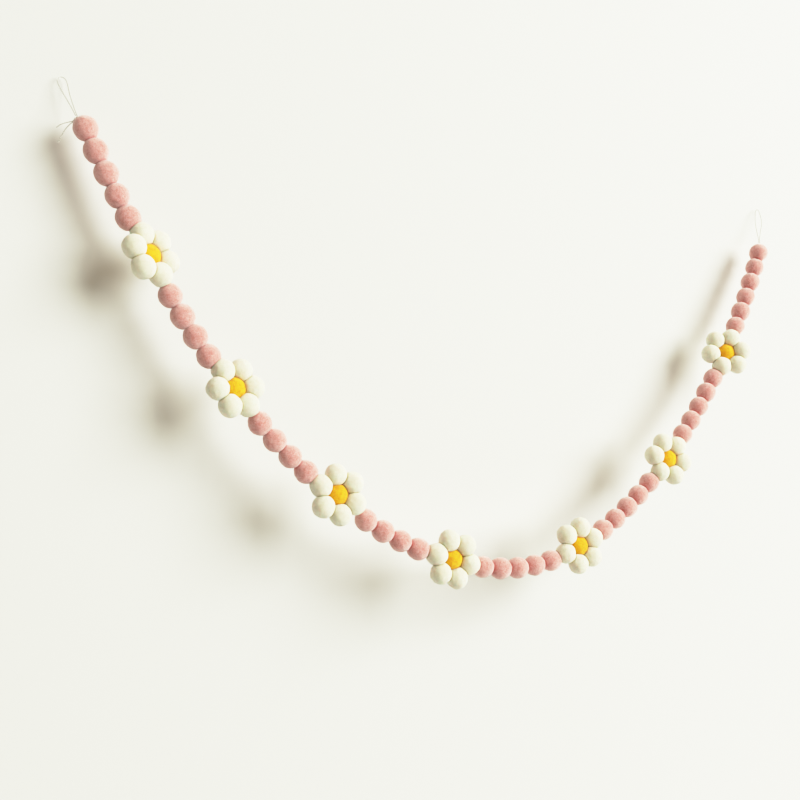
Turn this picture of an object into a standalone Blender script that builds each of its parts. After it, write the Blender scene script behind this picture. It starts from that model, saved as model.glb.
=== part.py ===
"""Felt ball garland: pink felt balls and seven daisies on one clear thread, hung by its two end loops.

The row frame has +X along the garland from its left end, +Y into the wall behind it and +Z up. The
origin is the top of the left thread loop, where the wall's pin carries it. Lengths are in metres.
"""

import math

import bmesh
import bpy
from mathutils import Vector

# Felt balls
BALL_R = 0.0097  # a pink ball, sold as 20 mm
PETAL_R = 0.0092  # a petal
CENTRE_R = 0.0091  # the yellow ball in the middle of a daisy
SWELL = 0.0007  # how far a ball bulges towards each ball that presses on it
GAP = 0.0003  # left between pieces that press on each other
PINK_RUNS = (5, 4, 4, 4, 5, 5, 5, 6)  # pink balls before, between and after the seven daisies
BALL_PITCH = 0.0188  # string from one pink ball's centre to the next
DAISY_PITCH = 0.0341  # string from a daisy's centre to the pink balls beside it

# Daisies
PETALS = 6
PETAL_RING_R = 0.0175  # from a daisy's centre to its petals' centres
RING_FORWARD = 0.0038  # the petals stand this far before the string
CENTRE_SUNK = 0.0034  # the yellow ball sits this far behind its petals
# One row for each daisy, from the left. In degrees: how far it is rolled about the string, top towards
# the wall below zero, and how far it is spun in its own plane. In metres: how far it has slid along the
# string and across it.
DAISY_SET = (
    {"roll": -33, "spin": -6, "along": -0.0008, "across": -0.0003},
    {"roll": -19, "spin": -2, "along": -0.0012, "across": 0.0004},
    {"roll": -5, "spin": 12, "along": -0.0007, "across": 0.0020},
    {"roll": 3, "spin": -1, "along": 0.0003, "across": 0.0013},
    {"roll": -3, "spin": -1, "along": -0.0006, "across": 0.0023},
    {"roll": -5, "spin": 2, "along": -0.0011, "across": 0.0005},
    {"roll": -25, "spin": 5, "along": -0.0015, "across": -0.0006},
)

# How it hangs
STRING_Y = -0.0150  # the balls keep the string this far before the wall
FIRST_BALL = Vector((0.0177, STRING_Y, -0.0438))
# The string's slope in degrees at nine even steps from the first ball to the last.
SLOPES = (-64.2, -58.5, -47.7, -32.2, -7.1, 31.8, 48.9, 59.1, 69.0)

# Clear thread
THREAD_D = 0.0008
KNOT_R = 0.0011
KNOT_OUT = BALL_R + KNOT_R  # from the end ball's centre to the knot's centre
THREAD_STEP = 3 * THREAD_D  # between the points of a thread's tube
HOOKS = {"left": Vector((0.0, 0.0, 0.0)), "right": Vector((0.7532, 0.0, 0.0))}
KNOT_WAYS = {"left": Vector((-0.56, 0.28, 0.78)), "right": Vector((0.30, 0.12, 0.95))}
# Each loop leaves its knot, goes up one side, over the pin and down the other side. Its points are
# measured from the top of the loop: to the right, into the wall and up.
LOOP_POINTS = {
    "left": (
        (0.0076, -0.0082, -0.0265),
        (0.0010, -0.0031, -0.0130),
        (-0.0024, -0.0008, -0.0055),
        (-0.0018, -0.0002, -0.0014),
        (0.0003, 0.0000, 0.0000),
        (0.0030, -0.0002, -0.0010),
        (0.0049, -0.0012, -0.0050),
        (0.0067, -0.0042, -0.0150),
        (0.0097, -0.0088, -0.0272),
    ),
    "right": (
        (-0.0128, -0.0118, -0.0370),
        (-0.0112, -0.0086, -0.0290),
        (-0.0090, -0.0050, -0.0170),
        (-0.0045, -0.0014, -0.0052),
        (-0.0018, -0.0002, -0.0008),
        (0.0004, 0.0000, 0.0000),
        (0.0022, -0.0006, -0.0022),
        (0.0014, -0.0044, -0.0150),
        (-0.0060, -0.0090, -0.0285),
        (-0.0110, -0.0120, -0.0372),
    ),
}
# The two cut ends that stick out of the left knot, from the knot's centre.
TAILS = {
    "tail_left_long": (
        (-0.0007, 0.0006, -0.0012),
        (-0.0025, 0.0012, -0.0031),
        (-0.0051, 0.0020, -0.0058),
        (-0.0078, 0.0026, -0.0096),
        (-0.0107, 0.0030, -0.0156),
        (-0.0129, 0.0032, -0.0213),
    ),
    "tail_left_short": (
        (-0.0015, 0.0008, -0.0001),
        (-0.0026, 0.0024, -0.0022),
        (-0.0055, 0.0034, -0.0034),
        (-0.0091, 0.0042, -0.0048),
        (-0.0119, 0.0047, -0.0065),
        (-0.0144, 0.0050, -0.0088),
    ),
}

# Mesh fineness
PINK_SIDES = 12  # round a pink ball, about the string
DAISY_SIDES = 10  # round a petal or a yellow ball, about the daisy's own axis
RINGS = 6  # circles of points from one pole of a ball to the other
THREAD_BEVEL = 2  # gives a thread eight sides
CURVE_STEPS = 20  # points worked out between two points of a thread's route

# One row for each material: its colour, how rough it is and how much light passes through.
MATERIALS = {
    "pink_felt": {"colour": (0.69, 0.34, 0.33, 1), "rough": 0.95, "clear": 0.0},
    "white_felt": {"colour": (0.84, 0.80, 0.64, 1), "rough": 0.95, "clear": 0.0},
    "yellow_felt": {"colour": (0.93, 0.50, 0.02, 1), "rough": 0.95, "clear": 0.0},
    "clear_nylon": {"colour": (0.88, 0.89, 0.86, 1), "rough": 0.2, "clear": 0.6},
}


def make_materials():
    """One Principled material for each kind of felt and for the thread."""
    for name, look in MATERIALS.items():
        material = bpy.data.materials.new(name)
        material.use_nodes = True
        shader = material.node_tree.nodes["Principled BSDF"]
        shader.inputs["Base Color"].default_value = look["colour"]
        shader.inputs["Roughness"].default_value = look["rough"]
        shader.inputs["Metallic"].default_value = 0.0
        shader.inputs["Transmission Weight"].default_value = look["clear"]


def add_object(name, data, material):
    """Links a mesh or curve as an object with its one material."""
    data.materials.append(bpy.data.materials[material])
    thing = bpy.data.objects.new(name, data)
    bpy.context.collection.objects.link(thing)
    return thing


def places_on_string():
    """Each place on the string as its kind and centre, from the left: pink balls and daisies."""
    kinds = []
    for run in PINK_RUNS:
        kinds += ["pink"] * run + ["daisy"]
    kinds.pop()
    steps = [
        DAISY_PITCH if "daisy" in pair else BALL_PITCH for pair in zip(kinds, kinds[1:])
    ]
    centre = FIRST_BALL.copy()
    places = [(kinds[0], centre.copy())]
    done = 0.0
    for kind, step in zip(kinds[1:], steps):
        slope = slope_at((done + step / 2) / sum(steps))
        centre += Vector((math.cos(slope), 0, math.sin(slope))) * step
        done += step
        places.append((kind, centre.copy()))
    return places


def slope_at(share):
    """The string's slope in radians, this share of the way from the first ball to the last."""
    at = share * (len(SLOPES) - 1)
    low = min(int(at), len(SLOPES) - 2)
    return math.radians(SLOPES[low] + (SLOPES[low + 1] - SLOPES[low]) * (at - low))


def daisy_seat(centre, before, after, setting):
    """A daisy's middle and its own axes: along the string, across its face, and out of its face."""
    along = (after - before).normalized()
    to_room = Vector((0, -1, 0))
    up = to_room.cross(along)
    roll = math.radians(setting["roll"])
    across = up * math.cos(roll) + to_room * math.sin(roll)
    out = to_room * math.cos(roll) - up * math.sin(roll)
    seat = centre + along * setting["along"] + across * setting["across"]
    return seat, (along, across, out)


def petal_centres(seat, axes, setting):
    """The six petals' centres, the first one towards the right end of the string."""
    along, across, out = axes
    middle = seat + out * RING_FORWARD
    angles = [math.radians(setting["spin"] + 360 * i / PETALS) for i in range(PETALS)]
    return [
        middle + (along * math.cos(a) + across * math.sin(a)) * PETAL_RING_R for a in angles
    ]


def contacts(centre, radius, others):
    """The flats that other balls press into this one, each as its outward way and distance."""
    flats = []
    for other, other_radius in others:
        apart = (other - centre).length
        if 0 < apart < radius + other_radius + GAP:
            share = (apart**2 + radius**2 - other_radius**2) / (2 * apart)
            flats.append(((other - centre) / apart, share - GAP / 2))
    return flats


def pressed_ball(ball_at, axis, flats, neighbours, sides):
    """A bmesh ball turned about its axis, which bulges towards its neighbours and is cut by its flats."""
    centre, radius = ball_at
    ball = bmesh.new()
    bmesh.ops.create_uvsphere(ball, u_segments=sides, v_segments=RINGS + 1, radius=1)
    turn = Vector((0, 0, 1)).rotation_difference(axis)
    ways = [(other - centre).normalized() for other in neighbours]
    for point in ball.verts:
        out = turn @ point.co
        bulge = sum(max(0, out.dot(way)) ** 2 for way in ways)
        point.co = out * (radius + SWELL * bulge)
        for way, distance in flats:
            beyond = point.co.dot(way) - distance
            if beyond > 0:
                point.co -= way * beyond
        point.co += centre
    bmesh.ops.triangulate(ball, faces=ball.faces)
    return ball


def add_ball(name, ball, material):
    """Turns a bmesh ball into an object whose origin is at its middle."""
    middle = sum((point.co for point in ball.verts), Vector()) / len(ball.verts)
    bmesh.ops.translate(ball, verts=ball.verts, vec=-middle)
    mesh = bpy.data.meshes.new(name)
    ball.to_mesh(mesh)
    ball.free()
    mesh.shade_smooth()
    thing = add_object(name, mesh, material)
    thing.location = middle
    return thing


def fuse(name, things):
    """Fuses balls that press into each other and keeps one object."""
    whole = things[0]
    for other in things[1:]:
        union = whole.modifiers.new("union", "BOOLEAN")
        union.operation = "UNION"
        union.object = other
    bpy.context.view_layer.update()
    evaluated = whole.evaluated_get(bpy.context.evaluated_depsgraph_get())
    mesh = bpy.data.meshes.new_from_object(evaluated)
    mesh.name = name
    for spare in things[1:]:
        bpy.data.objects.remove(spare)
    whole.modifiers.clear()
    whole.data = mesh
    whole.name = name
    return whole


def add_daisy(number, seat, axes, setting, neighbours):
    """Six petal balls fused into a ring, and the yellow ball that they press in the middle."""
    along, across, out = axes
    petals = petal_centres(seat, axes, setting)
    middle = seat + out * (RING_FORWARD - CENTRE_SUNK)
    press = [(middle, CENTRE_R)] + [(place, BALL_R) for place in neighbours]
    things = []
    for i, place in enumerate(petals):
        flats = contacts(place, PETAL_R, press)
        beside = [middle, petals[i - 1], petals[(i + 1) % PETALS]]
        ball = pressed_ball((place, PETAL_R), out, flats, beside, DAISY_SIDES)
        things.append(add_ball(f"petal_{i}", ball, "white_felt"))
    fuse(f"daisy_{number}_petals", things)
    flats = contacts(middle, CENTRE_R, [(place, PETAL_R) for place in petals])
    ball = pressed_ball((middle, CENTRE_R), out, flats, petals, DAISY_SIDES)
    add_ball(f"daisy_{number}_centre", ball, "yellow_felt")


def add_garland():
    """Every felt ball, in its place on the hanging string."""
    places = places_on_string()
    centres = [centre for _, centre in places]
    daisies = {}
    for i, (kind, centre) in enumerate(places):
        if kind == "daisy":
            setting = DAISY_SET[len(daisies)]
            daisies[i] = (*daisy_seat(centre, centres[i - 1], centres[i + 1], setting), setting)
    pink = 0
    for i, (kind, centre) in enumerate(places):
        beside = [j for j in (i - 1, i + 1) if 0 <= j < len(places)]
        if kind == "daisy":
            number = list(daisies).index(i) + 1
            add_daisy(number, *daisies[i], [centres[j] for j in beside])
            continue
        pink += 1
        press = []
        for j in beside:
            if j in daisies:
                press += [(place, PETAL_R) for place in petal_centres(*daisies[j])]
            else:
                press.append((centres[j], BALL_R))
        axis = (centres[beside[-1]] - centres[beside[0]]).normalized()
        if len(beside) == 1:
            axis = (centres[beside[0]] - centre).normalized()
        flats = contacts(centre, BALL_R, press)
        near = [place for place, radius in press if (place - centre).length < BALL_R + radius]
        ball = pressed_ball((centre, BALL_R), axis, flats, near, PINK_SIDES)
        add_ball(f"ball_{pink:02d}", ball, "pink_felt")
    return centres


def curve_point(a, b, c, d, t):
    """The point this share of the way from b to c on the smooth curve through a, b, c and d."""
    straight = b * 2 + (c - a) * t
    bend = a * 2 - b * 5 + c * 4 - d
    twist = b * 3 - a - c * 3 + d
    return (straight + bend * t**2 + twist * t**3) / 2


def smooth_route(points, step):
    """Points every step or so along a smooth curve through the route's own points."""
    ends = [points[0] * 2 - points[1], *points, points[-1] * 2 - points[-2]]
    fine = []
    for a, b, c, d in zip(ends, ends[1:], ends[2:], ends[3:]):
        fine += [curve_point(a, b, c, d, i / CURVE_STEPS) for i in range(CURVE_STEPS)]
    fine.append(points[-1])
    along = [0.0]
    for a, b in zip(fine, fine[1:]):
        along.append(along[-1] + (b - a).length)
    count = max(2, round(along[-1] / step))
    route = []
    at = 0
    for i in range(count + 1):
        wanted = along[-1] * i / count
        while at < len(along) - 2 and along[at + 1] < wanted:
            at += 1
        share = (wanted - along[at]) / (along[at + 1] - along[at])
        route.append(fine[at].lerp(fine[at + 1], share))
    return route


def add_thread(name, route):
    """A thread's tube: an open curve with a round bevel and filled ends."""
    curve = bpy.data.curves.new(name, "CURVE")
    curve.dimensions = "3D"
    curve.bevel_depth = THREAD_D / 2
    curve.bevel_resolution = THREAD_BEVEL
    curve.use_fill_caps = True
    spline = curve.splines.new("POLY")
    spline.points.add(len(route) - 1)
    for point, place in zip(spline.points, route):
        point.co = (*place, 1)
    return add_object(name, curve, "clear_nylon")


def knot_place(side, ball_centre):
    """Where an end's knot sits on its last ball."""
    return ball_centre + KNOT_WAYS[side].normalized() * KNOT_OUT


def add_end(side, ball_centre):
    """The knot on an end ball and the two-strand loop that rises from it to the pin."""
    knot = knot_place(side, ball_centre)
    ball = bmesh.new()
    bmesh.ops.create_icosphere(ball, subdivisions=2, radius=KNOT_R)
    bmesh.ops.translate(ball, verts=ball.verts, vec=knot)
    add_ball(f"knot_{side}", ball, "clear_nylon")
    points = [HOOKS[side] + Vector(point) for point in LOOP_POINTS[side]]
    rise = ((points[0] + points[-1]) / 2 - knot).normalized()
    start = knot + rise * (KNOT_R + 2.2 * GAP)
    aside = (points[-1] - points[0]).normalized() * (THREAD_D / 2 + GAP)
    route = [start - aside, *points, start + aside]
    add_thread(f"loop_{side}", smooth_route(route, THREAD_STEP))
    return knot


def add_tails(knot):
    """The two cut thread ends at the left knot."""
    for name, points in TAILS.items():
        add_thread(name, smooth_route([knot + Vector(point) for point in points], THREAD_STEP))


def main():
    """Builds the garland in an empty scene."""
    for old in list(bpy.data.objects):
        bpy.data.objects.remove(old)
    make_materials()
    centres = add_garland()
    add_tails(add_end("left", centres[0]))
    add_end("right", centres[-1])


main()
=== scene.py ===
"""Felt ball garland, dressed: wool felt balls, seven daisies and clear nylon thread.

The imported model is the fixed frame: +X along the garland, +Y into the wall behind it and +Z up,
with the origin at the top of the left thread loop. Lengths are in metres.
"""

import math

import bmesh
import bpy
import numpy as np
from mathutils import Euler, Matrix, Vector


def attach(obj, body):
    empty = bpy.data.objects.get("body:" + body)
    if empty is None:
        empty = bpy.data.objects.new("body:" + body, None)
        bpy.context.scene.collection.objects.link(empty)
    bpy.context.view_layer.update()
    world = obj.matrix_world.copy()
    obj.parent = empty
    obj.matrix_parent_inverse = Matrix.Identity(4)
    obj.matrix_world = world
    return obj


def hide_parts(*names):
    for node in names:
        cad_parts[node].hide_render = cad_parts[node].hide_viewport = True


bl_info = {
    "name": "Felt ball garland",
    "version": (1, 0, 0),
    "blender": (4, 5, 0),
    "location": "View3D > Sidebar > Garland",
    "description": "Dresses a felt ball garland with wool felt balls, daisies and clear thread",
    "category": "Object",
}

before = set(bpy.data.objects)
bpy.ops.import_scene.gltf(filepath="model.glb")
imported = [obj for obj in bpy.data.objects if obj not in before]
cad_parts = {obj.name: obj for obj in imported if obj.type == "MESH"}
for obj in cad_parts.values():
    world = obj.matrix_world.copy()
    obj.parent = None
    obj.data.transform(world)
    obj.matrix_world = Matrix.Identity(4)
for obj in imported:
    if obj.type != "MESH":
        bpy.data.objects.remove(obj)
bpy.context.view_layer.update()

# The balls and the string, as in the solids
BALL_R = 0.0097
PETAL_R = 0.0092
CENTRE_R = 0.0091
PINK_RUNS = (5, 4, 4, 4, 5, 5, 5, 6)
BALL_PITCH = 0.0188
DAISY_PITCH = 0.0341
PETALS = 6
PETAL_RING_R = 0.0175
RING_FORWARD = 0.0038
CENTRE_SUNK = 0.0034
DAISY_SET = (
    {"roll": -33, "spin": -6, "along": -0.0008, "across": -0.0003},
    {"roll": -19, "spin": -2, "along": -0.0012, "across": 0.0004},
    {"roll": -5, "spin": 12, "along": -0.0007, "across": 0.0020},
    {"roll": 3, "spin": -1, "along": 0.0003, "across": 0.0013},
    {"roll": -3, "spin": -1, "along": -0.0006, "across": 0.0023},
    {"roll": -5, "spin": 2, "along": -0.0011, "across": 0.0005},
    {"roll": -25, "spin": 5, "along": -0.0015, "across": -0.0006},
)
FIRST_BALL = Vector((0.0177, -0.0150, -0.0438))
SLOPES = (-64.2, -58.5, -47.7, -32.2, -7.1, 31.8, 48.9, 59.1, 69.0)

# The thread, as in the solids
KNOT_OUT = BALL_R + 0.0011
HOOKS = {"left": Vector((0.0, 0.0, 0.0)), "right": Vector((0.7532, 0.0, 0.0))}
KNOT_WAYS = {"left": Vector((-0.56, 0.28, 0.78)), "right": Vector((0.30, 0.12, 0.95))}
LOOP_START = 0.00176  # from a knot's centre to where its loop leaves it
LOOP_ASIDE = 0.0007  # from there to each strand of the loop
LOOP_POINTS = {
    "left": (
        (0.0076, -0.0082, -0.0265),
        (0.0010, -0.0031, -0.0130),
        (-0.0024, -0.0008, -0.0055),
        (-0.0018, -0.0002, -0.0014),
        (0.0003, 0.0000, 0.0000),
        (0.0030, -0.0002, -0.0010),
        (0.0049, -0.0012, -0.0050),
        (0.0067, -0.0042, -0.0150),
        (0.0097, -0.0088, -0.0272),
    ),
    "right": (
        (-0.0128, -0.0118, -0.0370),
        (-0.0112, -0.0086, -0.0290),
        (-0.0090, -0.0050, -0.0170),
        (-0.0045, -0.0014, -0.0052),
        (-0.0018, -0.0002, -0.0008),
        (0.0004, 0.0000, 0.0000),
        (0.0022, -0.0006, -0.0022),
        (0.0014, -0.0044, -0.0150),
        (-0.0060, -0.0090, -0.0285),
        (-0.0110, -0.0120, -0.0372),
    ),
}
TAILS = {
    "tail_left_long": (
        (-0.0007, 0.0006, -0.0012),
        (-0.0025, 0.0012, -0.0031),
        (-0.0051, 0.0020, -0.0058),
        (-0.0078, 0.0026, -0.0096),
        (-0.0107, 0.0030, -0.0156),
        (-0.0129, 0.0032, -0.0213),
    ),
    "tail_left_short": (
        (-0.0015, 0.0008, -0.0001),
        (-0.0026, 0.0024, -0.0022),
        (-0.0055, 0.0034, -0.0034),
        (-0.0091, 0.0042, -0.0048),
        (-0.0119, 0.0047, -0.0065),
        (-0.0144, 0.0050, -0.0088),
    ),
}

LOOP_STEPS = 6  # steps of the smooth curve between two points of a loop
TAIL_STEPS = 8
KNOT_STEPS = 60  # steps once round a knot
KNOT_ACROSS = 0.00026
KNOT_DEEP = 0.00042

# Felt surface
BALL_FINENESS = 5  # subdivisions of the icosphere behind each ball
LUMP_WAVES = 26  # waves added up for each size of lump
# One row for each size of lump: how wide it is, and how far it usually stands out
LUMPS = (
    {"width": 0.0090, "reach": 0.00008},
    {"width": 0.0040, "reach": 0.00005},
    {"width": 0.0017, "reach": 0.000035},
)
SIZE_SPREAD = 0.025  # how much the balls differ in size, as a share
LEAST_FACING = 0.05  # felt that faces a contact less than this isn't pressed by it
FREE_FELT = 0.00005  # felt that is pressed in less than this carries stray fibres
ROOT_DEPTH = 0.00006  # how deep a stray fibre starts in the felt
FIBRE_SIDES = 3
FIBRE_SEED = 1000  # added to a ball's own seed for its stray fibres
PRESSED = "pressed"  # the mesh value that says how near the felt is to a contact, from 0 to 1, and so how much painted crease shade it takes
CREASE_SHADE_SHARE = 0.95  # how far the painted crease shade takes over the colour at a contact

# Each felt's darker and paler wool and its painted crease shade as factors of its own colour, the
# shares of darker and paler wool that are carded in, and the sheen of its fibres
FELTS = {
    "pink": {
        "dark": (0.78, 0.38, 0.32),
        "pale": (1.15, 1.90, 2.10),
        "crease_shade": (0.95, 0.10, 0.06),
        "dark_share": 0.95,
        "pale_share": 0.80,
        "sheen": 0.9,
        "sheen_tint": (1.0, 0.95, 0.97),
    },
    "white": {
        "dark": (0.90, 0.89, 0.82),
        "pale": (1.06, 1.06, 1.12),
        "crease_shade": (0.78, 0.70, 0.47),
        "dark_share": 0.70,
        "pale_share": 0.50,
        "sheen": 0.5,
        "sheen_tint": (1.0, 1.0, 1.0),
    },
    "yellow": {
        "dark": (0.82, 0.60, 0.60),
        "pale": (1.05, 1.22, 2.20),
        "crease_shade": (0.90, 0.68, 0.55),
        "dark_share": 0.90,
        "pale_share": 0.40,
        "sheen": 0.25,
        "sheen_tint": (1.0, 0.88, 0.30),
    },
}
MIX_FIRST, MIX_SECOND, MIX_RESULT = 6, 7, 2  # the colour sockets of a Mix node

# Stage
FLOOR_Z = -2.2
WALL_AT_LOOPS = 0.004  # the wall's distance behind the loops' tops
WALL_LEAN = 0.12  # how far the wall falls back for each metre down
WALL_TOP = 0.9
STAGE_HALF_WIDTH = 3.0
STAGE_FRONT = -1.8
COVE_R = 0.20
COVE_STEPS = 14
GARLAND_MIDDLE = Vector((0.38, 0.0, -0.20))
KEY_WAY = (0.77, -1.0, 0.39)  # from the garland's middle to the large soft light, like a window
KEY_AWAY = 4.5
KEY_SIZE = (3.0, 3.0)
KEY_COLOUR = (0.955, 1.0, 0.862)
FILL_COLOUR = (1.0, 0.80, 0.54, 1)
# The fill light is full from straight above, at 1.0, and fades to nothing a little below level.
FILL_FADE = (-0.4, 1.0)
BACKDROP_COLOUR = (0.82, 0.82, 0.79, 1)  # what the camera sees past the wall and the floor
# The film's response: light past the knee is held back softly, and never gets past the top tone.
FILM_KNEE = 0.54
FILM_TOP = 0.982
FILM_RANGE = 6.0
FILM_STEPS = 28

# Camera, fitted to where the balls lie in the photograph
CAMERA_AT = Vector((-0.108, -0.790, -0.341))
CAMERA_YAW = 27.3  # degrees to the right of straight at the wall
CAMERA_PITCH = 6.5
CAMERA_LENS = 45.0


class GarlandLook(bpy.types.PropertyGroup):
    """Sizes and colours of the garland that a user would change."""

    pink: bpy.props.FloatVectorProperty(
        name="Pink wool",
        description="Colour of the pink felt balls",
        subtype="COLOR",
        default=(0.66, 0.218, 0.203),
        min=0.0,
        max=1.0,
    )
    white: bpy.props.FloatVectorProperty(
        name="White wool",
        description="Colour of the daisies' petals",
        subtype="COLOR",
        default=(0.80, 0.77, 0.63),
        min=0.0,
        max=1.0,
    )
    yellow: bpy.props.FloatVectorProperty(
        name="Yellow wool",
        description="Colour of the daisies' centres",
        subtype="COLOR",
        default=(0.88, 0.425, 0.003),
        min=0.0,
        max=1.0,
    )
    press_softness: bpy.props.FloatProperty(
        name="Press softness",
        description="How wide the rounded edge is where two balls press on each other",
        subtype="DISTANCE",
        default=0.0006,
        min=0.0001,
    )
    press_swell: bpy.props.FloatProperty(
        name="Press swell",
        description="How far a ball bulges towards each ball that presses on it",
        subtype="DISTANCE",
        default=0.0007,
        min=0.0,
    )
    press_gap: bpy.props.FloatProperty(
        name="Press gap",
        description="Gap left between two balls that press on each other",
        subtype="DISTANCE",
        default=0.00004,
        min=0.0,
    )
    # How far from a contact the painted crease shade reaches into the wool
    crease_shade_reach: bpy.props.FloatProperty(
        name="Crease reach",
        description="Distance from a contact at which the wool starts to look darker",
        subtype="DISTANCE",
        default=0.0011,
        min=0.00005,
    )
    fuzz_count: bpy.props.IntProperty(
        name="Stray fibres",
        description="Stray wool fibres on each ball",
        default=520,
        min=0,
    )
    fuzz_length: bpy.props.FloatProperty(
        name="Fibre length",
        description="Usual length of a stray wool fibre",
        subtype="DISTANCE",
        default=0.0013,
        min=0.0001,
    )
    fuzz_radius: bpy.props.FloatProperty(
        name="Fibre radius",
        description="Radius of a stray wool fibre at its root",
        subtype="DISTANCE",
        default=0.00004,
        min=0.000005,
    )
    thread_width: bpy.props.FloatProperty(
        name="Thread width",
        description="Diameter of the clear nylon thread",
        subtype="DISTANCE",
        default=0.0008,
        min=0.0003,
    )


class StageLook(bpy.types.PropertyGroup):
    """The plain room around the garland."""

    wall: bpy.props.FloatVectorProperty(
        name="Wall",
        description="Colour of the pale wall and floor",
        subtype="COLOR",
        default=(0.755, 0.755, 0.755),
        min=0.0,
        max=1.0,
    )
    key_power: bpy.props.FloatProperty(
        name="Key light",
        description="Power of the soft light at the upper right",
        subtype="POWER",
        default=447.0,
        min=0.0,
    )
    fill_strength: bpy.props.FloatProperty(
        name="Fill light",
        description="Strength of the warm light from all around",
        default=0.80,
        min=0.0,
    )


def new_material(name):
    """A material with an empty node tree."""
    material = bpy.data.materials.new(name)
    material.use_nodes = True
    material.node_tree.nodes.clear()
    return material


def join(tree, start, end):
    """Links two sockets."""
    tree.links.new(start, end)


def add_node(tree, kind, at, **settings):
    """Adds a node at a place in the tree and sets its properties."""
    node = tree.nodes.new(kind)
    node.location = at
    for key, value in settings.items():
        setattr(node, key, value)
    return node


def noise(tree, vector, at, size, detail, roughness, distortion):
    """A noise texture whose patches are about this size."""
    scaled = add_node(tree, "ShaderNodeVectorMath", at, operation="SCALE")
    scaled.inputs["Scale"].default_value = 1 / size
    join(tree, vector, scaled.inputs[0])
    texture = add_node(tree, "ShaderNodeTexNoise", (at[0] + 180, at[1]))
    texture.inputs["Scale"].default_value = 1.0
    texture.inputs["Detail"].default_value = detail
    texture.inputs["Roughness"].default_value = roughness
    texture.inputs["Distortion"].default_value = distortion
    join(tree, scaled.outputs[0], texture.inputs["Vector"])
    return texture.outputs["Fac"]


def between(tree, value, at, low, high, top):
    """Spreads a value from low..high to 0..top, where top is a number or a socket."""
    node = add_node(tree, "ShaderNodeMapRange", at, clamp=True)
    node.inputs["From Min"].default_value = low
    node.inputs["From Max"].default_value = high
    join(tree, value, node.inputs["Value"])
    if isinstance(top, float):
        node.inputs["To Max"].default_value = top
    else:
        join(tree, top, node.inputs["To Max"])
    return node.outputs["Result"]


def mix_colour(tree, share, first, second, at):
    """Mixes two colours by a share."""
    node = add_node(tree, "ShaderNodeMix", at, data_type="RGBA")
    join(tree, share, node.inputs["Factor"])
    join(tree, first, node.inputs[MIX_FIRST])
    join(tree, second, node.inputs[MIX_SECOND])
    return node.outputs[MIX_RESULT]


def felt_group():
    """Wool felt: tangled fibres, with darker and paler wool carded through the main colour."""
    name = "Wool felt"
    if name in bpy.data.node_groups:
        return bpy.data.node_groups[name]
    tree = bpy.data.node_groups.new(name, "ShaderNodeTree")
    for label, kind, default in (
        ("Wool", "NodeSocketColor", (0.8, 0.8, 0.8, 1)),
        ("Dark wool", "NodeSocketColor", (0.4, 0.4, 0.4, 1)),
        ("Pale wool", "NodeSocketColor", (0.9, 0.9, 0.9, 1)),
        ("Dark share", "NodeSocketFloat", 0.5),
        ("Pale share", "NodeSocketFloat", 0.5),
    ):
        socket = tree.interface.new_socket(label, in_out="INPUT", socket_type=kind)
        socket.default_value = default
    tree.interface.new_socket("Colour", in_out="OUTPUT", socket_type="NodeSocketColor")
    tree.interface.new_socket("Height", in_out="OUTPUT", socket_type="NodeSocketFloat")
    given = add_node(tree, "NodeGroupInput", (-900, 0))
    result = add_node(tree, "NodeGroupOutput", (900, 0))
    place = add_node(tree, "ShaderNodeTexCoord", (-900, -300)).outputs["Object"]

    batch = noise(tree, place, (-600, 500), 0.021, 1.0, 0.5, 0.0)
    mottle = noise(tree, place, (-600, 250), 0.0030, 3.0, 0.70, 0.8)
    flecks = noise(tree, place, (-600, 0), 0.0016, 3.0, 0.75, 1.4)
    fibres = noise(tree, place, (-600, -250), 0.00055, 5.0, 0.75, 3.0)
    weave = noise(tree, place, (-600, -500), 0.0016, 3.0, 0.6, 2.2)

    dark = between(tree, mottle, (-200, 250), 0.46, 0.60, given.outputs["Dark share"])
    colour = mix_colour(tree, dark, given.outputs["Wool"], given.outputs["Dark wool"], (0, 250))
    ball_tone = between(tree, batch, (-200, 500), 0.40, 0.75, 0.35)
    colour = mix_colour(tree, ball_tone, colour, given.outputs["Dark wool"], (200, 250))
    pale = between(tree, flecks, (-200, 0), 0.50, 0.64, given.outputs["Pale share"])
    colour = mix_colour(tree, pale, colour, given.outputs["Pale wool"], (400, 250))
    thin = between(tree, fibres, (-200, -250), 0.50, 0.80, given.outputs["Pale share"])
    colour = mix_colour(tree, thin, colour, given.outputs["Pale wool"], (600, 250))
    join(tree, colour, result.inputs["Colour"])

    height = add_node(tree, "ShaderNodeMath", (200, -300), operation="MULTIPLY_ADD")
    height.inputs[1].default_value = 0.6
    join(tree, fibres, height.inputs[0])
    join(tree, weave, height.inputs[2])
    join(tree, height.outputs[0], result.inputs["Height"])
    return tree


def tinted(colour, factor):
    """A colour made darker or lighter by one factor for each channel."""
    return tuple(min(1.0, channel * part) for channel, part in zip(colour, factor))


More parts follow.
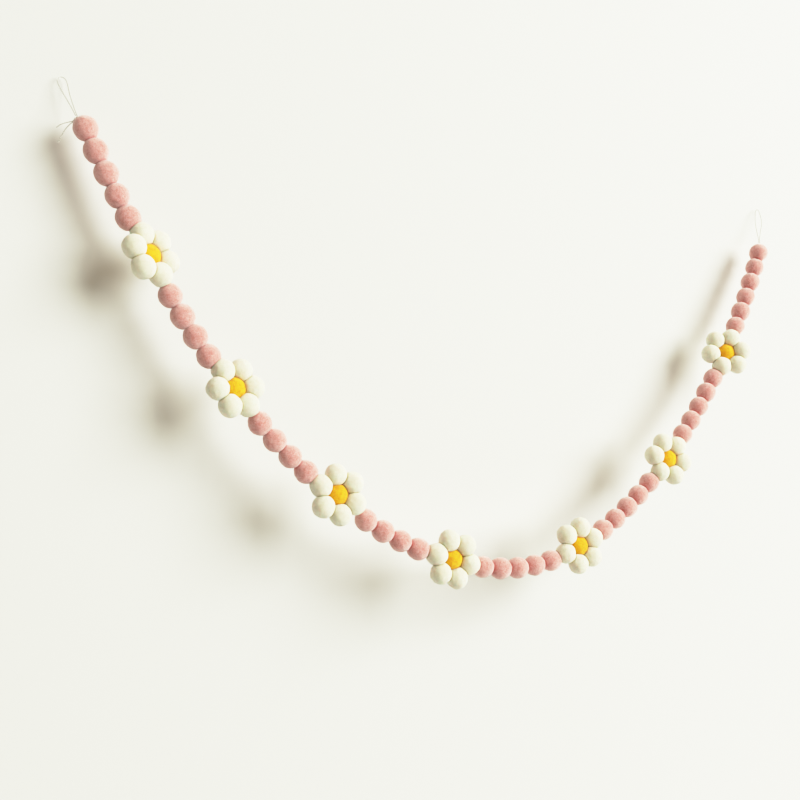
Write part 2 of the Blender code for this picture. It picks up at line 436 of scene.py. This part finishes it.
def felt_material(name, colour, look):
    """Matt wool felt in one colour, with a soft sheen and painted shade that darkens its creases.
    """
    material = new_material(name)
    tree = material.node_tree
    felt = add_node(tree, "ShaderNodeGroup", (-500, 0), node_tree=felt_group())
    felt.inputs["Wool"].default_value = (*colour, 1)
    felt.inputs["Dark wool"].default_value = (*tinted(colour, look["dark"]), 1)
    felt.inputs["Pale wool"].default_value = (*tinted(colour, look["pale"]), 1)
    felt.inputs["Dark share"].default_value = look["dark_share"]
    felt.inputs["Pale share"].default_value = look["pale_share"]
    bump = add_node(tree, "ShaderNodeBump", (-250, -200))
    bump.inputs["Strength"].default_value = 0.9
    bump.inputs["Distance"].default_value = 0.00035
    shader = add_node(tree, "ShaderNodeBsdfPrincipled", (0, 0))
    shader.inputs["Roughness"].default_value = 0.92
    shader.inputs["Specular IOR Level"].default_value = 0.15
    shader.inputs["Sheen Weight"].default_value = look["sheen"]
    shader.inputs["Sheen Roughness"].default_value = 0.75
    shader.inputs["Sheen Tint"].default_value = (*look["sheen_tint"], 1)
    shader.inputs["Subsurface Weight"].default_value = 0.45
    shader.inputs["Subsurface Radius"].default_value = (1.0, 0.32, 0.22)
    shader.inputs["Subsurface Scale"].default_value = 0.0022
    out = add_node(tree, "ShaderNodeOutputMaterial", (300, 0))
    # Painted crease shade: near each contact the felt's colour is mixed towards a darker crease
    # colour
    pressed = add_node(tree, "ShaderNodeAttribute", (-700, 300), attribute_name=PRESSED)
    share = between(tree, pressed.outputs["Fac"], (-500, 300), 0.0, 1.0, CREASE_SHADE_SHARE)
    crease_shading = add_node(tree, "ShaderNodeMix", (-250, 300), data_type="RGBA")
    crease_shading.inputs[MIX_SECOND].default_value = (*tinted(colour, look["crease_shade"]), 1)
    join(tree, share, crease_shading.inputs["Factor"])
    join(tree, felt.outputs["Colour"], crease_shading.inputs[MIX_FIRST])
    join(tree, crease_shading.outputs[MIX_RESULT], shader.inputs["Base Color"])
    join(tree, felt.outputs["Height"], bump.inputs["Height"])
    join(tree, bump.outputs["Normal"], shader.inputs["Normal"])
    join(tree, shader.outputs["BSDF"], out.inputs["Surface"])
    return material


def nylon_material():
    """Clear nylon thread, slightly milky."""
    material = new_material("Clear nylon")
    tree = material.node_tree
    shader = add_node(tree, "ShaderNodeBsdfPrincipled", (0, 0))
    shader.inputs["Base Color"].default_value = (0.72, 0.72, 0.69, 1)
    shader.inputs["Roughness"].default_value = 0.16
    shader.inputs["IOR"].default_value = 1.53
    shader.inputs["Transmission Weight"].default_value = 0.55
    out = add_node(tree, "ShaderNodeOutputMaterial", (300, 0))
    join(tree, shader.outputs["BSDF"], out.inputs["Surface"])
    return material


def stage_material(colour):
    """Plain pale paint that only shows from its front, so the garland's back can be seen."""
    material = new_material("Pale paint")
    tree = material.node_tree
    paint = add_node(tree, "ShaderNodeBsdfDiffuse", (0, 100))
    paint.inputs["Color"].default_value = (*colour, 1)
    clear = add_node(tree, "ShaderNodeBsdfTransparent", (0, -50))
    back = add_node(tree, "ShaderNodeNewGeometry", (-400, 300))
    ray = add_node(tree, "ShaderNodeLightPath", (-400, 0))
    both = add_node(tree, "ShaderNodeMath", (-150, 300), operation="MULTIPLY")
    join(tree, back.outputs["Backfacing"], both.inputs[0])
    join(tree, ray.outputs["Is Camera Ray"], both.inputs[1])
    mix = add_node(tree, "ShaderNodeMixShader", (250, 50))
    join(tree, both.outputs[0], mix.inputs["Fac"])
    join(tree, paint.outputs["BSDF"], mix.inputs[1])
    join(tree, clear.outputs["BSDF"], mix.inputs[2])
    out = add_node(tree, "ShaderNodeOutputMaterial", (450, 50))
    join(tree, mix.outputs["Shader"], out.inputs["Surface"])
    return material


def slope_at(share):
    """The string's slope in radians, this share of the way from the first ball to the last."""
    at = share * (len(SLOPES) - 1)
    low = min(int(at), len(SLOPES) - 2)
    return math.radians(SLOPES[low] + (SLOPES[low + 1] - SLOPES[low]) * (at - low))


def places_on_string():
    """Each place on the string as its kind and centre, from the left: pink balls and daisies."""
    kinds = []
    for run in PINK_RUNS:
        kinds += ["pink"] * run + ["daisy"]
    kinds.pop()
    steps = [DAISY_PITCH if "daisy" in pair else BALL_PITCH for pair in zip(kinds, kinds[1:])]
    centre = FIRST_BALL.copy()
    places = [(kinds[0], centre.copy())]
    done = 0.0
    for kind, step in zip(kinds[1:], steps):
        slope = slope_at((done + step / 2) / sum(steps))
        centre += Vector((math.cos(slope), 0, math.sin(slope))) * step
        done += step
        places.append((kind, centre.copy()))
    return places


def daisy_balls(places, at, setting):
    """A daisy's six petal centres and its yellow ball's centre."""
    centre = places[at][1]
    along = (places[at + 1][1] - places[at - 1][1]).normalized()
    to_room = Vector((0, -1, 0))
    up = to_room.cross(along)
    roll = math.radians(setting["roll"])
    across = up * math.cos(roll) + to_room * math.sin(roll)
    out = to_room * math.cos(roll) - up * math.sin(roll)
    seat = centre + along * setting["along"] + across * setting["across"]
    petals = []
    for i in range(PETALS):
        angle = math.radians(setting["spin"] + 360 * i / PETALS)
        arm = along * math.cos(angle) + across * math.sin(angle)
        petals.append(seat + out * RING_FORWARD + arm * PETAL_RING_R)
    return petals, seat + out * (RING_FORWARD - CENTRE_SUNK)


def all_balls():
    """Every felt ball from the left, as rows of its node, colour, centre and radius."""
    places = places_on_string()
    balls = []
    pinks = 0
    daisies = 0
    for at, (kind, centre) in enumerate(places):
        if kind == "pink":
            pinks += 1
            node = f"ball_{pinks:02d}"
            balls.append({"node": node, "wool": "pink", "centre": centre, "radius": BALL_R})
            continue
        petals, middle = daisy_balls(places, at, DAISY_SET[daisies])
        daisies += 1
        node = f"daisy_{daisies}_petals"
        for place in petals:
            balls.append({"node": node, "wool": "white", "centre": place, "radius": PETAL_R})
        node = f"daisy_{daisies}_centre"
        balls.append({"node": node, "wool": "yellow", "centre": middle, "radius": CENTRE_R})
    return balls


def contacts(ball, balls, gap):
    """The flats that the other balls press into this one: outward ways and distances."""
    ways = []
    distances = []
    for other in balls:
        apart = (other["centre"] - ball["centre"]).length
        if 0 < apart < ball["radius"] + other["radius"]:
            squares = ball["radius"] ** 2 - other["radius"] ** 2
            ways.append((other["centre"] - ball["centre"]) / apart)
            distances.append((apart**2 + squares) / (2 * apart) - gap / 2)
    return np.array(ways).reshape(-1, 3), np.array(distances)


class FeltShape:
    """The lumpy, pressed surface of one felt ball, as a radius for any way out of its centre."""

    def __init__(self, ball, balls, seed, look):
        """Draws the ball's own lumps and finds what presses on it."""
        rng = np.random.default_rng(seed)
        self.centre = np.array(ball["centre"])
        self.radius = ball["radius"] * (1 + SIZE_SPREAD * rng.uniform(-1, 1))
        self.ways, self.distances = contacts(ball, balls, look.press_gap)
        self.softness = look.press_softness
        self.swell = look.press_swell
        self.waves = []
        for lump in LUMPS:
            turns = rng.normal(size=(LUMP_WAVES, 3))
            turns /= np.linalg.norm(turns, axis=1)[:, None]
            turns *= 2 * math.pi * ball["radius"] / lump["width"]
            starts = rng.uniform(0, 2 * math.pi, LUMP_WAVES)
            self.waves.append((turns, starts, lump["reach"] * math.sqrt(2 / LUMP_WAVES)))

    def free_reach(self, out):
        """The radius along each unit way if nothing pressed on the ball."""
        reach = np.full(len(out), self.radius)
        for way in self.ways:
            reach += self.swell * np.clip(out @ way, 0, 1) ** 2
        for turns, starts, height in self.waves:
            reach += height * np.cos(out @ turns.T + starts).sum(axis=1)
        return reach

    def reach(self, out):
        """The radius along each unit way, drawn in softly where a neighbour presses."""
        reach = self.free_reach(out)
        for way, distance in zip(self.ways, self.distances):
            facing = out @ way
            flat = distance / np.maximum(facing, LEAST_FACING)
            limit = np.where(facing > LEAST_FACING, flat, np.inf)
            near = np.clip(1 - np.abs(reach - limit) / self.softness, 0, 1)
            reach = np.minimum(reach, limit) - near**2 * self.softness / 4
        return reach

    def pressed(self, out, crease_shade_reach):
        """How near each unit way is to a contact, from 0 to 1, the mask of the painted crease
        shade.
        """
        free = self.free_reach(out)
        pressed = np.zeros(len(out))
        for way, distance in zip(self.ways, self.distances):
            room = distance / np.maximum(out @ way, LEAST_FACING) - free
            pressed = np.maximum(pressed, np.clip(1 - room / crease_shade_reach, 0, 1))
        return pressed

    def surface(self, out):
        """Points on the ball along each unit way."""
        return self.centre + out * self.reach(out)[:, None]


def unit(vectors):
    """Each vector at length one."""
    return vectors / np.linalg.norm(vectors, axis=1)[:, None]


def ball_template():
    """Unit ways and triangles of the fine ball that every felt ball starts from."""
    ball = bmesh.new()
    bmesh.ops.create_icosphere(ball, subdivisions=BALL_FINENESS, radius=1)
    out = unit(np.array([point.co for point in ball.verts]))
    triangles = np.array([[point.index for point in face.verts] for face in ball.faces])
    ball.free()
    return out, triangles


def stray_fibres(shape, rng, look):
    """Short curved wool fibres that stand off a ball, each a closed three-sided hair."""
    out = unit(rng.normal(size=(look.fuzz_count, 3)))
    out = out[shape.free_reach(out) - shape.reach(out) < FREE_FELT]
    count = len(out)
    lie = unit(np.cross(out, rng.normal(size=(count, 3))))
    side = np.cross(out, lie)
    lift = rng.uniform(0.15, 1.0, (count, 1))
    length = look.fuzz_length * rng.uniform(0.5, 1.6, (count, 1))
    rise = unit(lie + out * lift)
    sway = side * rng.uniform(-0.9, 0.9, (count, 1))
    bend = unit(rise + sway - out * rng.uniform(-0.2, 0.7, (count, 1)))
    root = shape.centre + out * (shape.reach(out) - ROOT_DEPTH)[:, None]
    middle = root + rise * length * 0.5
    tip = middle + bend * length * 0.5
    rings = []
    for place, way, thick in ((root, rise, 1.0), (middle, unit(rise + bend), 0.7)):
        first = unit(np.cross(way, side + out * 0.3))
        second = np.cross(way, first)
        for i in range(FIBRE_SIDES):
            angle = 2 * math.pi * i / FIBRE_SIDES
            arm = first * math.cos(angle) + second * math.sin(angle)
            rings.append(place + arm * look.fuzz_radius * thick)
    points = np.stack([*rings, tip], axis=1)
    faces = [(2, 1, 0)]
    for i in range(FIBRE_SIDES):
        after = (i + 1) % FIBRE_SIDES
        faces += [(i, after, FIBRE_SIDES + after), (i, FIBRE_SIDES + after, FIBRE_SIDES + i)]
        faces.append((FIBRE_SIDES + i, FIBRE_SIDES + after, 2 * FIBRE_SIDES))
    per_fibre = 2 * FIBRE_SIDES + 1
    triangles = np.array(faces)[None] + (np.arange(count) * per_fibre)[:, None, None]
    # Each fibre takes the painted crease shade of the felt it stands on
    pressed = np.repeat(shape.pressed(out, look.crease_shade_reach), per_fibre)
    return points.reshape(-1, 3), triangles.reshape(-1, 3), pressed


def mesh_object(name, parts, material):
    """One smooth mesh object from several sets of points, triangles and pressed values, the mask
    of the painted crease shade.
    """
    points = []
    triangles = []
    pressed = []
    done = 0
    for part_points, part_triangles, part_crease_shade in parts:
        points.append(part_points)
        triangles.append(part_triangles + done)
        pressed.append(part_crease_shade)
        done += len(part_points)
    mesh = bpy.data.meshes.new(name)
    mesh.from_pydata(np.vstack(points).tolist(), [], np.vstack(triangles).tolist())
    # The pressed values go to the mesh, where they set the painted crease shade
    layer = mesh.attributes.new(PRESSED, "FLOAT", "POINT")
    layer.data.foreach_set("value", np.concatenate(pressed))
    mesh.shade_smooth()
    mesh.materials.append(material)
    thing = bpy.data.objects.new(name, mesh)
    bpy.context.scene.collection.objects.link(thing)
    return thing


def dress(thing, nodes):
    """Puts a piece on the garland's body in place of its solids."""
    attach(thing, "root")
    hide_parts(*nodes)
    return thing


def add_felt(wool, colour):
    """Builds the felt balls of one colour, one piece for each of their solids."""
    look = bpy.context.scene.garland_look
    material = felt_material(f"{wool.capitalize()} felt", tuple(colour), FELTS[wool])
    balls = all_balls()
    out, triangles = ball_template()
    pieces = {}
    for seed, ball in enumerate(balls):
        if ball["wool"] != wool:
            continue
        shape = FeltShape(ball, balls, seed, look)
        parts = pieces.setdefault(ball["node"], [])
        # The ball's pressed values set its painted crease shade
        parts.append((shape.surface(out), triangles, shape.pressed(out, look.crease_shade_reach)))
        parts.append(stray_fibres(shape, np.random.default_rng(FIBRE_SEED + seed), look))
    for node, parts in pieces.items():
        dress(mesh_object(f"{node}_felt", parts, material), [node])


def curve_point(a, b, c, d, t):
    """The point this share of the way from b to c on the smooth curve through a, b, c and d."""
    straight = b * 2 + (c - a) * t
    bend = a * 2 - b * 5 + c * 4 - d
    twist = b * 3 - a - c * 3 + d
    return (straight + bend * t**2 + twist * t**3) / 2


def smooth_route(points, steps):
    """A smooth curve through the route's own points, with this many steps between two of them."""
    ends = [points[0] * 2 - points[1], *points, points[-1] * 2 - points[-2]]
    route = []
    for a, b, c, d in zip(ends, ends[1:], ends[2:], ends[3:]):
        route += [curve_point(a, b, c, d, i / steps) for i in range(steps)]
    return [*route, points[-1]]


def thread_object(name, route, material, closed=False):
    """A round clear thread along a route."""
    curve = bpy.data.curves.new(name, "CURVE")
    curve.dimensions = "3D"
    curve.bevel_depth = bpy.context.scene.garland_look.thread_width / 2
    curve.bevel_resolution = 3
    curve.use_fill_caps = not closed
    spline = curve.splines.new("POLY")
    spline.points.add(len(route) - 1)
    for point, place in zip(spline.points, route):
        point.co = (*place, 1)
    spline.use_cyclic_u = closed
    spline.use_smooth = True
    curve.materials.append(material)
    thing = bpy.data.objects.new(name, curve)
    bpy.context.scene.collection.objects.link(thing)
    return thing


def knot_route(centre, way):
    """A tight overhand knot: a trefoil with its open side along the string."""
    turn = Vector((0, 0, 1)).rotation_difference(way)
    route = []
    for i in range(KNOT_STEPS):
        t = 2 * math.pi * i / KNOT_STEPS
        across = (math.sin(t) + 2 * math.sin(2 * t)) * KNOT_ACROSS
        up = (math.cos(t) - 2 * math.cos(2 * t)) * KNOT_ACROSS
        deep = -math.sin(3 * t) * KNOT_DEEP
        route.append(centre + turn @ Vector((across, up, deep)))
    return route


def add_end(side, ball_centre, material):
    """One end's knot and the two-strand loop that rises from it to its pin."""
    way = KNOT_WAYS[side].normalized()
    knot = ball_centre + way * KNOT_OUT
    points = [HOOKS[side] + Vector(point) for point in LOOP_POINTS[side]]
    rise = ((points[0] + points[-1]) / 2 - knot).normalized()
    start = knot + rise * LOOP_START
    aside = (points[-1] - points[0]).normalized() * LOOP_ASIDE
    route = smooth_route([start - aside, *points, start + aside], LOOP_STEPS)
    loop = thread_object(f"loop_{side}_thread", route, material)
    dress(loop, [f"loop_{side}"])
    tied = thread_object(f"knot_{side}_thread", knot_route(knot, way), material, closed=True)
    dress(tied, [f"knot_{side}"])
    if side == "left":
        for name, tail in TAILS.items():
            tail_route = smooth_route([knot + Vector(point) for point in tail], TAIL_STEPS)
            end = thread_object(f"{name}_thread", tail_route, material)
            dress(end, [name])


class GARLAND_OT_thread(bpy.types.Operator):
    """Add the clear thread loops, their knots and the cut ends"""

    bl_idname = "garland.thread"
    bl_label = "Thread ends"

    def execute(self, context):
        """Builds both ends of the thread."""
        material = nylon_material()
        places = places_on_string()
        add_end("left", places[0][1], material)
        add_end("right", places[-1][1], material)
        return {"FINISHED"}


class GARLAND_OT_pink_balls(bpy.types.Operator):
    """Add the pink felt balls"""

    bl_idname = "garland.pink_balls"
    bl_label = "Pink balls"

    def execute(self, context):
        """Builds every pink ball."""
        add_felt("pink", context.scene.garland_look.pink)
        return {"FINISHED"}


class GARLAND_OT_petals(bpy.types.Operator):
    """Add the daisies' white petals"""

    bl_idname = "garland.petals"
    bl_label = "Petals"

    def execute(self, context):
        """Builds every petal ball."""
        add_felt("white", context.scene.garland_look.white)
        return {"FINISHED"}


class GARLAND_OT_centres(bpy.types.Operator):
    """Add the daisies' yellow centres"""

    bl_idname = "garland.centres"
    bl_label = "Yellow centres"

    def execute(self, context):
        """Builds every yellow ball."""
        add_felt("yellow", context.scene.garland_look.yellow)
        return {"FINISHED"}


def stage_profile():
    """The floor, the cove and the leaning wall, from the front to the top, as back and up."""
    lean = math.atan(WALL_LEAN)
    foot_y = WALL_AT_LOOPS - FLOOR_Z * WALL_LEAN
    turn = math.pi / 2 + lean
    reach = COVE_R * math.tan(turn / 2)
    middle = Vector((foot_y - reach, FLOOR_Z + COVE_R))
    profile = [Vector((STAGE_FRONT, FLOOR_Z))]
    for i in range(COVE_STEPS + 1):
        angle = -math.pi / 2 + turn * i / COVE_STEPS
        profile.append(middle + Vector((math.cos(angle), math.sin(angle))) * COVE_R)
    profile.append(Vector((WALL_AT_LOOPS - WALL_TOP * WALL_LEAN, WALL_TOP)))
    return profile


def add_light(name, at, target, power, size, colour):
    """An area light that faces a point, this wide and high."""
    light = bpy.data.lights.new(name, "AREA")
    light.energy = power
    light.shape = "RECTANGLE"
    light.size, light.size_y = size
    light.color = colour
    thing = bpy.data.objects.new(name, light)
    thing.location = at
    thing.rotation_euler = (target - at).to_track_quat("-Z", "Y").to_euler()
    thing.visible_camera = False
    bpy.context.scene.collection.objects.link(thing)


def film_tone(light):
    """The tone that the film gives to an amount of light."""
    if light < FILM_KNEE:
        return light
    span = FILM_TOP - FILM_KNEE
    return FILM_KNEE + span * (1 - math.exp((FILM_KNEE - light) / span))


def room_light(strength):
    """Warm light from all around that fades towards the floor, and looks plain and pale itself."""
    world = bpy.data.worlds.new("Pale world")
    world.use_nodes = True
    tree = world.node_tree
    background = tree.nodes["Background"]
    background.inputs["Color"].default_value = FILL_COLOUR
    way = add_node(tree, "ShaderNodeTexCoord", (-600, 0))
    split = add_node(tree, "ShaderNodeSeparateXYZ", (-400, 0))
    join(tree, way.outputs["Generated"], split.inputs[0])
    fill = between(tree, split.outputs["Z"], (-200, 0), *FILL_FADE, strength)
    join(tree, fill, background.inputs["Strength"])
    plain = add_node(tree, "ShaderNodeBackground", (0, -200))
    plain.inputs["Color"].default_value = BACKDROP_COLOUR
    seen = add_node(tree, "ShaderNodeLightPath", (0, 300))
    mix = add_node(tree, "ShaderNodeMixShader", (250, 0))
    join(tree, seen.outputs["Is Camera Ray"], mix.inputs["Fac"])
    join(tree, background.outputs[0], mix.inputs[1])
    join(tree, plain.outputs[0], mix.inputs[2])
    join(tree, mix.outputs[0], tree.nodes["World Output"].inputs["Surface"])
    return world


class GARLAND_OT_stage(bpy.types.Operator):
    """Add the pale room, its light and the camera"""

    bl_idname = "garland.stage"
    bl_label = "Stage"

    def execute(self, context):
        """Builds the stage."""
        look = context.scene.garland_stage
        self.add_room(look)
        self.add_lights(context, look)
        self.add_camera(context)
        return {"FINISHED"}

    def add_room(self, look):
        """One pale sheet for the floor, the cove and the wall."""
        profile = stage_profile()
        points = []
        for back, up in profile:
            points += [(-STAGE_HALF_WIDTH, back, up), (STAGE_HALF_WIDTH, back, up)]
        faces = [(2 * i, 2 * i + 1, 2 * i + 3, 2 * i + 2) for i in range(len(profile) - 1)]
        mesh = bpy.data.meshes.new("room")
        mesh.from_pydata(points, [], faces)
        mesh.shade_smooth()
        mesh.materials.append(stage_material(look.wall))
        room = bpy.data.objects.new("room", mesh)
        bpy.context.scene.collection.objects.link(room)

    def add_lights(self, context, look):
        """A soft key light at the upper right and a warm fill light from all around."""
        key_at = GARLAND_MIDDLE + Vector(KEY_WAY).normalized() * KEY_AWAY
        add_light("key_light", key_at, GARLAND_MIDDLE, look.key_power, KEY_SIZE, KEY_COLOUR)
        context.scene.world = room_light(look.fill_strength)
        self.set_film(context.scene.view_settings)

    def set_film(self, view):
        """Gives the picture the soft highlights of a photograph."""
        view.view_transform = "Standard"
        view.use_curve_mapping = True
        mapping = view.curve_mapping
        mapping.white_level = (FILM_RANGE,) * 3
        tones = mapping.curves[3].points
        for i in range(1, FILM_STEPS):
            light = FILM_RANGE * (i / FILM_STEPS) ** 2
            tones.new(light / FILM_RANGE, film_tone(light))
        tones[0].location = (0, 0)
        tones[-1].location = (1, FILM_TOP)
        mapping.update()

    def add_camera(self, context):
        """The camera at the photograph's place and angle."""
        camera = bpy.data.cameras.new("camera")
        camera.lens = CAMERA_LENS
        camera.sensor_width = 36.0
        camera.clip_start = 0.01
        thing = bpy.data.objects.new("camera", camera)
        thing.location = CAMERA_AT
        tilt = math.radians(90 + CAMERA_PITCH)
        thing.rotation_euler = Euler((tilt, 0, -math.radians(CAMERA_YAW)))
        context.scene.collection.objects.link(thing)
        context.scene.camera = thing


class GARLAND_PT_panel(bpy.types.Panel):
    """Lists the garland's pieces and looks"""

    bl_idname = "GARLAND_PT_panel"
    bl_label = "Felt ball garland"
    bl_space_type = "VIEW_3D"
    bl_region_type = "UI"
    bl_category = "Garland"

    def draw(self, context):
        """Shows the looks and a button for each operator."""
        for look in (context.scene.garland_look, context.scene.garland_stage):
            for name in look.__annotations__:
                self.layout.prop(look, name)
        for operator in OPERATORS:
            self.layout.operator(operator.bl_idname)


OPERATORS = (
    GARLAND_OT_stage,
    GARLAND_OT_thread,
    GARLAND_OT_pink_balls,
    GARLAND_OT_petals,
    GARLAND_OT_centres,
)
CLASSES = (GarlandLook, StageLook, *OPERATORS, GARLAND_PT_panel)


def register():
    """Registers the classes and the scene's settings."""
    for each in CLASSES:
        bpy.utils.register_class(each)
    bpy.types.Scene.garland_look = bpy.props.PointerProperty(type=GarlandLook)
    bpy.types.Scene.garland_stage = bpy.props.PointerProperty(type=StageLook)


def unregister():
    """Takes the classes and the scene's settings away."""
    del bpy.types.Scene.garland_stage
    del bpy.types.Scene.garland_look
    for each in reversed(CLASSES):
        bpy.utils.unregister_class(each)


def main():
    """Builds the stage and every piece."""
    register()
    bpy.ops.garland.stage()
    bpy.ops.garland.thread()
    bpy.ops.garland.pink_balls()
    bpy.ops.garland.petals()
    bpy.ops.garland.centres()


if __name__ == "__main__":
    main()
